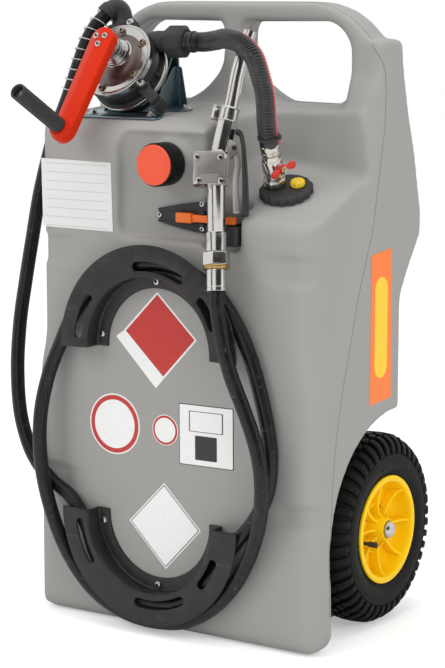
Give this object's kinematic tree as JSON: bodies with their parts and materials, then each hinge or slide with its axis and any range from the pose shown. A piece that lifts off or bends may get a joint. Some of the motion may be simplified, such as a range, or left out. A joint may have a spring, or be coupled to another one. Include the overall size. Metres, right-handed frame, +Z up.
{
  "type": "fuel caddy",
  "caption": "Wheeled moulded fuel tank with a handle loop, crank rotary pump, suction line with ball valve, delivery hose on two brackets and a trigger nozzle in a holder.",
  "frame": {"origin": "on the tank's flat base, midway between its sides and below the handle loop, at the floor", "axes": "+Z up, -Y towards the front with the hose and the nozzle, +X to the right as seen from the front; the wheels' axle is along X"},
  "size_m": [0.615, 0.5727, 1.014],
  "materials": {
    "moulded_grey": "rotomoulded, fine orange peel",
    "black_plastic": "satin moulded",
    "black_cast": "satin black paint on casting",
    "red_plastic": "gloss moulded",
    "red_paint": "gloss paint",
    "orange_plastic": "gloss moulded",
    "yellow_plastic": "gloss moulded",
    "tyre_rubber": "matt rubber",
    "hose_rubber": "smooth rubber",
    "seal_rubber": "matt rubber",
    "polished_cover": "polished plate",
    "steel": "brushed",
    "zinc_sheet": "zinc plated, slightly blue",
    "nickel_brass": "nickel plated",
    "brass": "turned",
    "aluminium": "die cast"
  },
  "bodies": {
    "caddy": {"tank": "moulded_grey", "axle": "steel", "hub_cap_left": "steel", "hub_cap_right": "steel", "pump_body": "black_cast", "pump_cover": "polished_cover", "pump_bracket": "zinc_sheet", "inlet_stub": "black_plastic", "union_nut": "black_plastic", "suction_hose": "hose_rubber", "hose_tie_upper": "black_plastic", "hose_tie_lower": "black_plastic", "suction_seal": "seal_rubber", "suction_cap": "black_plastic", "valve_body": "nickel_brass", "dip_tube": "black_plastic", "foot_strainer": "black_plastic", "outlet_elbow": "black_cast", "delivery_hose": "hose_rubber", "spring_guard": "steel", "swivel_nut": "aluminium", "nozzle_body": "aluminium", "nozzle_cover": "aluminium", "lever_pin": "steel", "trigger_guard": "black_plastic", "nozzle_spout": "aluminium", "nozzle_holder": "black_plastic", "hose_bracket_top": "black_cast", "hose_bracket_bottom": "black_cast"},
    "wheel_left": {"tyre_left": "tyre_rubber", "rim_left": "yellow_plastic", "bush_left": "black_plastic"},
    "wheel_right": {"tyre_right": "tyre_rubber", "rim_right": "yellow_plastic", "bush_right": "black_plastic"},
    "crank": {"crank_hub": "steel", "crank_arm": "red_paint", "grip_pin": "steel", "pump_shaft": "steel", "pump_rotor": "steel", "pump_vane_left": "black_plastic", "pump_vane_right": "black_plastic"},
    "grip": {"crank_grip": "black_plastic"},
    "valve_lever": {"valve_handle": "red_paint", "valve_stem": "steel", "valve_nut": "brass", "valve_ball": "polished_cover"},
    "filler_lift": {"filler_gasket": "seal_rubber"},
    "filler_cap": {"filler_cap_skirt": "black_plastic", "filler_cap_disc": "red_plastic"},
    "vent": {"vent_plug": "yellow_plastic"},
    "trigger": {"trigger_lever": "aluminium"},
    "lock": {"lock_bar": "orange_plastic"},
    "hose_end": {"hose_ferrule": "aluminium", "swivel_ring": "brass"}
  },
  "joints": [
    {"name": "wheel_left_spin", "type": "hinge", "parent": "caddy", "child": "wheel_left", "pos_m": [-0.2225, 0.046, 0.157], "axis": [1, 0, 0], "continuous": true},
    {"name": "wheel_right_spin", "type": "hinge", "parent": "caddy", "child": "wheel_right", "pos_m": [0.2225, 0.046, 0.157], "axis": [1, 0, 0], "continuous": true},
    {"name": "crank_spin", "type": "hinge", "parent": "caddy", "child": "crank", "pos_m": [-0.147, -0.13325, 0.92369], "axis": [0, -0.866, 0.5], "continuous": true},
    {"name": "grip_spin", "type": "hinge", "parent": "crank", "child": "grip", "pos_m": [-0.1677, -0.21293, 0.78568], "axis": [0, -0.866, 0.5], "continuous": true},
    {"name": "valve_turn", "type": "hinge", "parent": "caddy", "child": "valve_lever", "pos_m": [0.15474, -0.14006, 0.7568], "axis": [0.9606, -0.1899, -0.2031], "range_deg": [0, 90]},
    {"name": "filler_turn", "type": "hinge", "parent": "filler_lift", "child": "filler_cap", "pos_m": [-0.006, -0.2, 0.757], "axis": [0, -1, 0], "range_deg": [0, 900]},
    {"name": "filler_lift", "type": "slide", "parent": "caddy", "child": "filler_lift", "axis": [0, -1, 0], "range_m": [0, 0.0101]},
    {"name": "vent_turn", "type": "hinge", "parent": "caddy", "child": "vent", "pos_m": [0.18587, -0.11631, 0.72724], "axis": [0.1113, -0.4067, 0.9067], "range_deg": [0, 90]},
    {"name": "trigger_pull", "type": "hinge", "parent": "caddy", "child": "trigger", "pos_m": [0.10997, -0.18017, 0.78296], "axis": [-0.5339, 0.7915, -0.2974], "range_deg": [0, 5.5], "stiffness_Nm_per_rad": 1, "springref_deg": -5.73},
    {"name": "lock_slide", "type": "slide", "parent": "caddy", "child": "lock", "axis": [-1, 0, 0], "range_m": [0, 0.02]},
    {"name": "hose_swivel", "type": "hinge", "parent": "caddy", "child": "hose_end", "pos_m": [0.12117, -0.24507, 0.5901], "axis": [-0.1663, 0.2465, 0.9548], "continuous": true}
  ],
  "couplings": [
    {"joint": "filler_lift", "follows": "filler_turn", "m_per_rad": 0.00063662}
  ]
}
